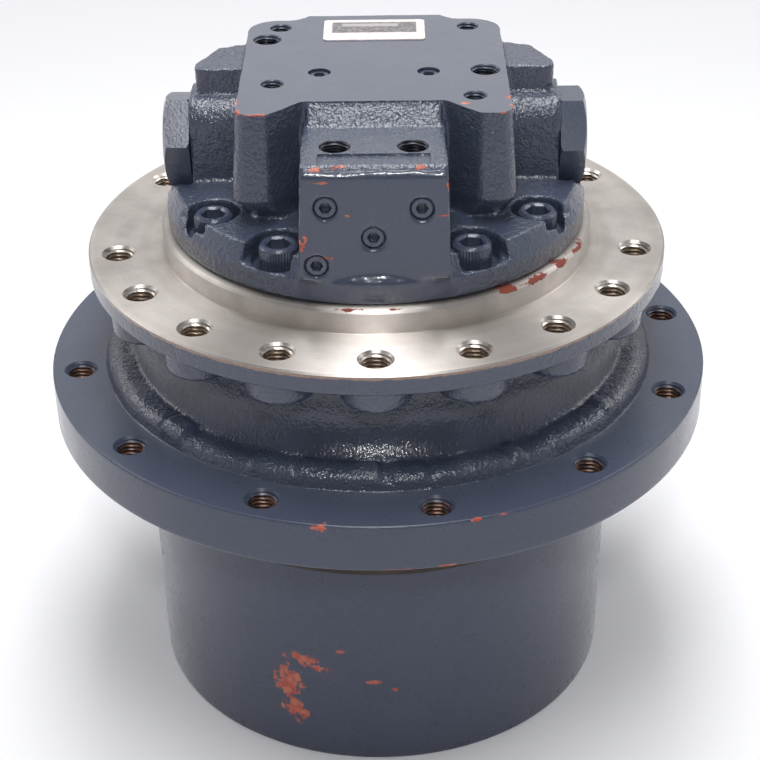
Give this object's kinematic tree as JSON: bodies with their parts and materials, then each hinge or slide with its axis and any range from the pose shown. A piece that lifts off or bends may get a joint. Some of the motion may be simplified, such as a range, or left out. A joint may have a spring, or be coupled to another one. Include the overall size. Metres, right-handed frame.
{
  "type": "excavator final drive",
  "caption": "Track final drive with swash-plate motor, two-stage planetary gear, tapped frame flange and rotating sprocket hub.",
  "frame": {"origin": "centre of the frame flange's mounting face, on the drive's axis", "axes": "+Z along the drive's axis from the hub to the motor casing; -Y towards the square front block; +X completes the right-handed set"},
  "size_m": [0.3254, 0.3252, 0.3208],
  "materials": {
    "machined_iron": "machined, bare, satin",
    "housing_paint": "dark blue-grey gloss enamel over rough casting",
    "bolt_paint": "dark blue-grey gloss enamel",
    "plate_aluminium": "satin",
    "gear_steel": "ground",
    "bearing_steel": "polished",
    "spring_steel": "blackened",
    "cast_seal": "lapped",
    "bronze": "satin",
    "friction_lining": "sintered lining",
    "rubber": "matt"
  },
  "bodies": {
    "frame": {"spindle": "machined_iron", "motor_casing": "housing_paint", "casing_bolts": "bolt_paint", "counterbalance_plugs": "bolt_paint", "socket_plugs": "bolt_paint", "nameplate": "plate_aluminium", "casing_o_ring": "rubber", "valve_plate": "bronze", "rear_shaft_bearing": "bearing_steel", "shaft_bearing_outer": "bearing_steel", "shaft_seal": "rubber", "swash_cradle": "bronze", "brake_separators": "bearing_steel", "brake_spring": "spring_steel", "main_bearing_inner_rings": "bearing_steel", "bearing_nut": "gear_steel", "fixed_seal_ring": "cast_seal", "fixed_toric_ring": "rubber", "fixed_carrier": "gear_steel", "fixed_carrier_bolts": "spring_steel", "stage_2_pins": "bearing_steel", "stage_2_washers": "bronze", "counterbalance_springs": "spring_steel", "speed_spring": "spring_steel"},
    "hub": {"hub": "housing_paint", "ring_gear": "gear_steel", "hub_cover": "housing_paint", "cover_o_ring": "rubber", "cover_retaining_ring": "spring_steel", "oil_plugs": "gear_steel", "main_bearing_outer_rings": "bearing_steel", "turning_seal_ring": "cast_seal", "turning_toric_ring": "rubber"},
    "carrier_1": {"stage_1_carrier": "gear_steel", "sun_gear_2": "gear_steel", "stage_1_pins": "bearing_steel", "stage_1_washers": "bronze"},
    "shaft": {"drive_shaft": "gear_steel", "sun_gear_1": "gear_steel", "cylinder_block": "gear_steel", "block_springs": "spring_steel", "friction_discs": "friction_lining", "pistons": "bearing_steel", "shaft_bearing_inner": "bearing_steel", "ball_guide": "bearing_steel"},
    "roller_rows": {"main_bearing_rollers": "bearing_steel"},
    "swash": {"swash_plate": "gear_steel"},
    "slipper_set": {"shoe_retainer": "gear_steel", "slippers": "bronze"},
    "speed_ram": {"speed_piston": "bearing_steel"},
    "brake_ram": {"brake_piston": "gear_steel"},
    "counterbalance_valve": {"counterbalance_spool": "bearing_steel"},
    "speed_valve": {"speed_spool": "bearing_steel"},
    "planet_1_1": {"stage_1_planet_1": "gear_steel"},
    "planet_1_2": {"stage_1_planet_2": "gear_steel"},
    "planet_1_3": {"stage_1_planet_3": "gear_steel"},
    "planet_2_1": {"stage_2_planet_1": "gear_steel"},
    "planet_2_2": {"stage_2_planet_2": "gear_steel"},
    "planet_2_3": {"stage_2_planet_3": "gear_steel"},
    "planet_2_4": {"stage_2_planet_4": "gear_steel"}
  },
  "joints": [
    {"name": "hub_spin", "type": "hinge", "parent": "frame", "child": "hub", "pos_m": [0, 0, 0], "axis": [0, 0, 1], "continuous": true, "deforming": ["pistons"]},
    {"name": "roller_rows_roll", "type": "hinge", "parent": "frame", "child": "roller_rows", "pos_m": [0, 0, 0], "axis": [0, 0, 1], "continuous": true},
    {"name": "carrier_1_spin", "type": "hinge", "parent": "frame", "child": "carrier_1", "pos_m": [0, 0, 0], "axis": [0, 0, 1], "continuous": true},
    {"name": "planet_1_1_spin", "type": "hinge", "parent": "carrier_1", "child": "planet_1_1", "pos_m": [0, -0.0585, 0], "axis": [0, 0, 1], "continuous": true},
    {"name": "planet_1_2_spin", "type": "hinge", "parent": "carrier_1", "child": "planet_1_2", "pos_m": [0.05066, 0.02925, 0], "axis": [0, 0, 1], "continuous": true},
    {"name": "planet_1_3_spin", "type": "hinge", "parent": "carrier_1", "child": "planet_1_3", "pos_m": [-0.05066, 0.02925, 0], "axis": [0, 0, 1], "continuous": true},
    {"name": "planet_2_1_spin", "type": "hinge", "parent": "frame", "child": "planet_2_1", "pos_m": [0, -0.063, 0], "axis": [0, 0, 1], "continuous": true},
    {"name": "planet_2_2_spin", "type": "hinge", "parent": "frame", "child": "planet_2_2", "pos_m": [0.063, 0, 0], "axis": [0, 0, 1], "continuous": true},
    {"name": "planet_2_3_spin", "type": "hinge", "parent": "frame", "child": "planet_2_3", "pos_m": [0, 0.063, 0], "axis": [0, 0, 1], "continuous": true},
    {"name": "planet_2_4_spin", "type": "hinge", "parent": "frame", "child": "planet_2_4", "pos_m": [-0.063, 0, 0], "axis": [0, 0, 1], "continuous": true},
    {"name": "shaft_spin", "type": "hinge", "parent": "frame", "child": "shaft", "pos_m": [0, 0, 0], "axis": [0, 0, 1], "continuous": true},
    {"name": "swash_tilt", "type": "hinge", "parent": "frame", "child": "swash", "pos_m": [0, 0, -0.054], "axis": [1, 0, 0], "range_deg": [-6, 0]},
    {"name": "slipper_set_spin", "type": "hinge", "parent": "swash", "child": "slipper_set", "pos_m": [0, 0, -0.054], "axis": [0, -0.2419, 0.9703], "continuous": true},
    {"name": "speed_ram_slide", "type": "slide", "parent": "frame", "child": "speed_ram", "axis": [0, 0, 1], "range_m": [0, 0.0038]},
    {"name": "brake_ram_slide", "type": "slide", "parent": "frame", "child": "brake_ram", "axis": [0, 0, 1], "range_m": [0, 0.0015], "deforming": ["brake_spring"]},
    {"name": "counterbalance_spool_slide", "type": "slide", "parent": "frame", "child": "counterbalance_valve", "axis": [1, 0, 0], "range_m": [-0.005, 0.005], "stiffness_N_per_m": 2000, "deforming": ["counterbalance_springs"]},
    {"name": "speed_spool_slide", "type": "slide", "parent": "frame", "child": "speed_valve", "axis": [0, 1, 0], "range_m": [0, 0.004], "stiffness_N_per_m": 600, "deforming": ["speed_spring"]}
  ],
  "couplings": [
    {"joint": "roller_rows_roll", "follows": "hub_spin", "ratio": 0.53396},
    {"joint": "carrier_1_spin", "follows": "hub_spin", "ratio": -3.6667},
    {"joint": "planet_1_1_spin", "follows": "hub_spin", "ratio": 11.407},
    {"joint": "planet_1_2_spin", "follows": "hub_spin", "ratio": 11.407},
    {"joint": "planet_1_3_spin", "follows": "hub_spin", "ratio": 11.407},
    {"joint": "planet_2_1_spin", "follows": "hub_spin", "ratio": 2.75},
    {"joint": "planet_2_2_spin", "follows": "hub_spin", "ratio": 2.75},
    {"joint": "planet_2_3_spin", "follows": "hub_spin", "ratio": 2.75},
    {"joint": "planet_2_4_spin", "follows": "hub_spin", "ratio": 2.75},
    {"joint": "shaft_spin", "follows": "hub_spin", "ratio": -29.333},
    {"joint": "slipper_set_spin", "follows": "hub_spin", "ratio": -29.333},
    {"joint": "speed_ram_slide", "follows": "swash_tilt", "m_per_rad": -0.0356}
  ]
}
